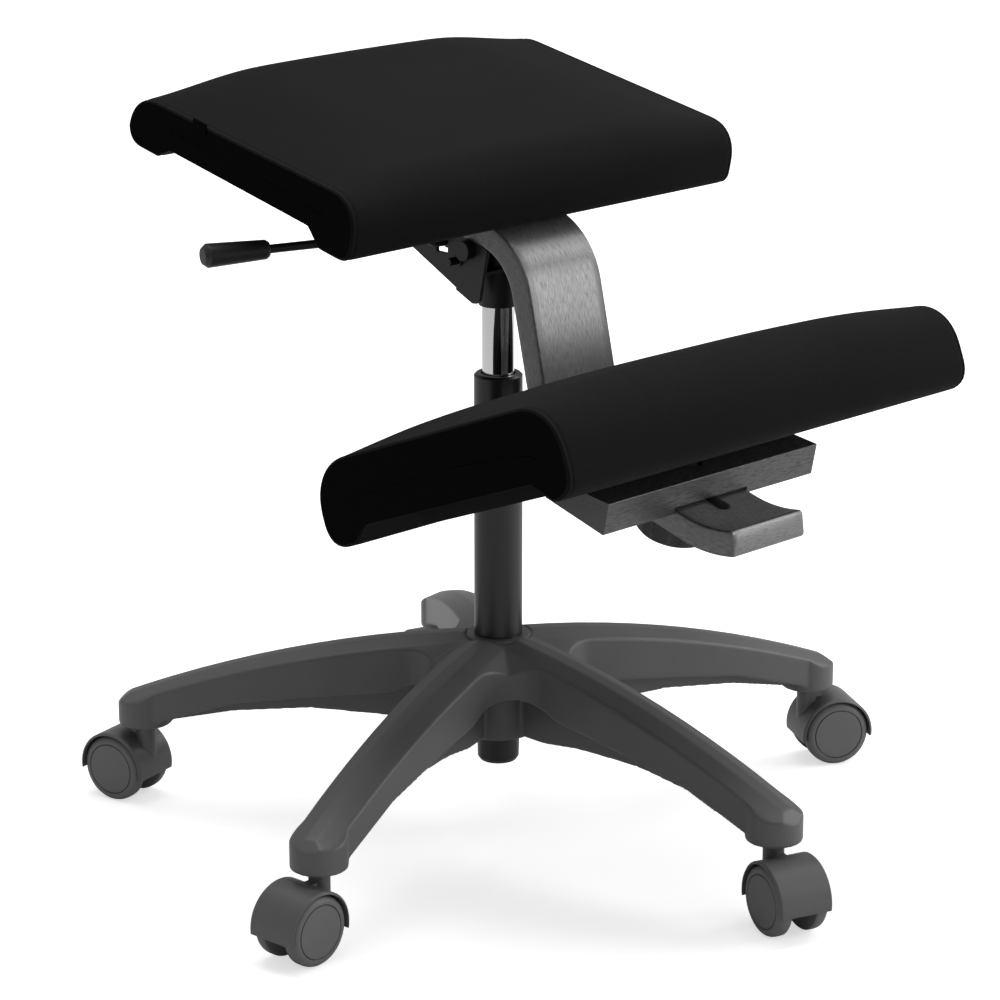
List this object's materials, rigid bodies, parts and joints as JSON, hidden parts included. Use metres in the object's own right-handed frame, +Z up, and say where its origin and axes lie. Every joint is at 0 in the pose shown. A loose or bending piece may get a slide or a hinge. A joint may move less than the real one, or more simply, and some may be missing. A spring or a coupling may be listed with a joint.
{
  "type": "kneeling chair",
  "caption": "Kneeling chair: sloped square seat and wide knee pad on a bent wooden beam, gas column with release lever, five-arm star base on swivelling twin-wheel casters",
  "frame": {"origin": "on the floor, under the middle of the gas column", "axes": "+Z up, -Y forward (the way the sitter faces), +X to the sitter's left"},
  "size_m": [0.7273, 0.7041, 0.6621],
  "materials": {
    "base_plastic": "satin grey nylon, light texture",
    "beam_wood": "dark grey stained, satin lacquer",
    "black_steel": "black powder coat",
    "board_wood": "plain plywood",
    "bush_plastic": "natural",
    "caster_plastic": "satin dark grey",
    "chrome_steel": "polished",
    "foam_fabric": "black woven upholstery",
    "knob_plastic": "black",
    "zinc_steel": "zinc plated"
  },
  "bodies": {
    "base": {"star_base": "base_plastic", "hub_sleeve": "knob_plastic", "column_tube": "black_steel", "guide_bush": "bush_plastic", "bearing_lower_race": "zinc_steel"},
    "rod": {"piston_rod": "zinc_steel", "bearing_upper_race": "zinc_steel", "bearing_balls": "zinc_steel", "retaining_clip": "zinc_steel"},
    "seat": {"gas_cylinder": "chrome_steel", "bracket_socket": "black_steel", "seat_bracket": "black_steel", "bracket_rivet": "black_steel", "beam": "beam_wood", "seat_board": "board_wood", "seat_bolts": "zinc_steel", "seat_tee_nuts": "zinc_steel", "seat_cushion": "foam_fabric", "seat_tag": "foam_fabric", "lever_pin": "zinc_steel"},
    "lever": {"lever_rod": "black_steel", "lever_grip": "knob_plastic"},
    "valve": {"valve_button": "zinc_steel"},
    "knee": {"knee_cushion": "foam_fabric", "knee_board": "board_wood", "knee_carrier": "beam_wood", "knee_screws": "zinc_steel", "clamp_bolt": "zinc_steel", "clamp_washer": "zinc_steel"},
    "knob": {"clamp_knob": "knob_plastic", "knob_insert": "zinc_steel"},
    "caster_front": {"caster_front_stem": "zinc_steel", "caster_front_hood": "caster_plastic", "caster_front_axle": "zinc_steel"},
    "caster_front_wheel_1": {"caster_front_wheel_1": "caster_plastic"},
    "caster_front_wheel_2": {"caster_front_wheel_2": "caster_plastic"},
    "caster_left": {"caster_left_stem": "zinc_steel", "caster_left_hood": "caster_plastic", "caster_left_axle": "zinc_steel"},
    "caster_left_wheel_1": {"caster_left_wheel_1": "caster_plastic"},
    "caster_left_wheel_2": {"caster_left_wheel_2": "caster_plastic"},
    "caster_rear_left": {"caster_rear_left_stem": "zinc_steel", "caster_rear_left_hood": "caster_plastic", "caster_rear_left_axle": "zinc_steel"},
    "caster_rear_left_wheel_1": {"caster_rear_left_wheel_1": "caster_plastic"},
    "caster_rear_left_wheel_2": {"caster_rear_left_wheel_2": "caster_plastic"},
    "caster_rear_right": {"caster_rear_right_stem": "zinc_steel", "caster_rear_right_hood": "caster_plastic", "caster_rear_right_axle": "zinc_steel"},
    "caster_rear_right_wheel_1": {"caster_rear_right_wheel_1": "caster_plastic"},
    "caster_rear_right_wheel_2": {"caster_rear_right_wheel_2": "caster_plastic"},
    "caster_right": {"caster_right_stem": "zinc_steel", "caster_right_hood": "caster_plastic", "caster_right_axle": "zinc_steel"},
    "caster_right_wheel_1": {"caster_right_wheel_1": "caster_plastic"},
    "caster_right_wheel_2": {"caster_right_wheel_2": "caster_plastic"}
  },
  "joints": [
    {"name": "seat_swivel", "type": "hinge", "parent": "base", "child": "rod", "pos_m": [0, 0, 0.068], "axis": [0, 0, 1], "continuous": true},
    {"name": "seat_height", "type": "slide", "parent": "rod", "child": "seat", "axis": [0, 0, 1], "range_m": [-0.055, 0.065]},
    {"name": "release_lever", "type": "hinge", "parent": "seat", "child": "lever", "pos_m": [-0.024, 0.022, 0.526], "axis": [0, 1, 0], "range_deg": [0, 7], "stiffness_Nm_per_rad": 2, "springref_deg": -2.86},
    {"name": "valve_press", "type": "slide", "parent": "seat", "child": "valve", "axis": [0, 0, -1], "range_m": [0, 0.0036]},
    {"name": "knee_depth", "type": "slide", "parent": "seat", "child": "knee", "axis": [0, -0.9659, -0.2588], "range_m": [-0.01, 0.025]},
    {"name": "knob_turn", "type": "hinge", "parent": "knee", "child": "knob", "pos_m": [0, -0.2188, 0.35904], "axis": [0, -0.2588, 0.9659], "continuous": true},
    {"name": "caster_front_swivel", "type": "hinge", "parent": "base", "child": "caster_front", "pos_m": [0.0067, -0.31993, 0.073], "axis": [0, 0, 1], "continuous": true},
    {"name": "caster_front_wheel_1_roll", "type": "hinge", "parent": "caster_front", "child": "caster_front_wheel_1", "pos_m": [-0.00048, -0.34178, 0.03], "axis": [0.95, -0.3123, 0], "continuous": true},
    {"name": "caster_front_wheel_2_roll", "type": "hinge", "parent": "caster_front", "child": "caster_front_wheel_2", "pos_m": [-0.00048, -0.34178, 0.03], "axis": [0.95, -0.3123, 0], "continuous": true},
    {"name": "caster_left_swivel", "type": "hinge", "parent": "base", "child": "caster_left", "pos_m": [0.30634, -0.09249, 0.073], "axis": [0, 0, 1], "continuous": true},
    {"name": "caster_left_wheel_1_roll", "type": "hinge", "parent": "caster_left", "child": "caster_left_wheel_1", "pos_m": [0.32659, -0.10339, 0.03], "axis": [0.4741, 0.8805, 0], "continuous": true},
    {"name": "caster_left_wheel_2_roll", "type": "hinge", "parent": "caster_left", "child": "caster_left_wheel_2", "pos_m": [0.32659, -0.10339, 0.03], "axis": [0.4741, 0.8805, 0], "continuous": true},
    {"name": "caster_rear_left_swivel", "type": "hinge", "parent": "base", "child": "caster_rear_left", "pos_m": [0.18263, 0.26277, 0.073], "axis": [0, 0, 1], "continuous": true},
    {"name": "caster_rear_left_wheel_1_roll", "type": "hinge", "parent": "caster_rear_left", "child": "caster_rear_left_wheel_1", "pos_m": [0.18858, 0.28498, 0.03], "axis": [-0.9659, 0.2588, 0], "continuous": true},
    {"name": "caster_rear_left_wheel_2_roll", "type": "hinge", "parent": "caster_rear_left", "child": "caster_rear_left_wheel_2", "pos_m": [0.18858, 0.28498, 0.03], "axis": [-0.9659, 0.2588, 0], "continuous": true},
    {"name": "caster_rear_right_swivel", "type": "hinge", "parent": "base", "child": "caster_rear_right", "pos_m": [-0.19347, 0.25489, 0.073], "axis": [0, 0, 1], "continuous": true},
    {"name": "caster_rear_right_wheel_1_roll", "type": "hinge", "parent": "caster_rear_right", "child": "caster_rear_right_wheel_1", "pos_m": [-0.199, 0.27722, 0.03], "axis": [-0.9707, -0.2402, 0], "continuous": true},
    {"name": "caster_rear_right_wheel_2_roll", "type": "hinge", "parent": "caster_rear_right", "child": "caster_rear_right_wheel_2", "pos_m": [-0.199, 0.27722, 0.03], "axis": [-0.9707, -0.2402, 0], "continuous": true},
    {"name": "caster_right_swivel", "type": "hinge", "parent": "base", "child": "caster_right", "pos_m": [-0.3022, -0.10524, 0.073], "axis": [0, 0, 1], "continuous": true},
    {"name": "caster_right_wheel_1_roll", "type": "hinge", "parent": "caster_right", "child": "caster_right_wheel_1", "pos_m": [-0.32514, -0.10696, 0.03], "axis": [0.075, -0.9972, 0], "continuous": true},
    {"name": "caster_right_wheel_2_roll", "type": "hinge", "parent": "caster_right", "child": "caster_right_wheel_2", "pos_m": [-0.32514, -0.10696, 0.03], "axis": [0.075, -0.9972, 0], "continuous": true}
  ],
  "couplings": [
    {"joint": "valve_press", "follows": "release_lever", "m_per_rad": 0.028}
  ]
}
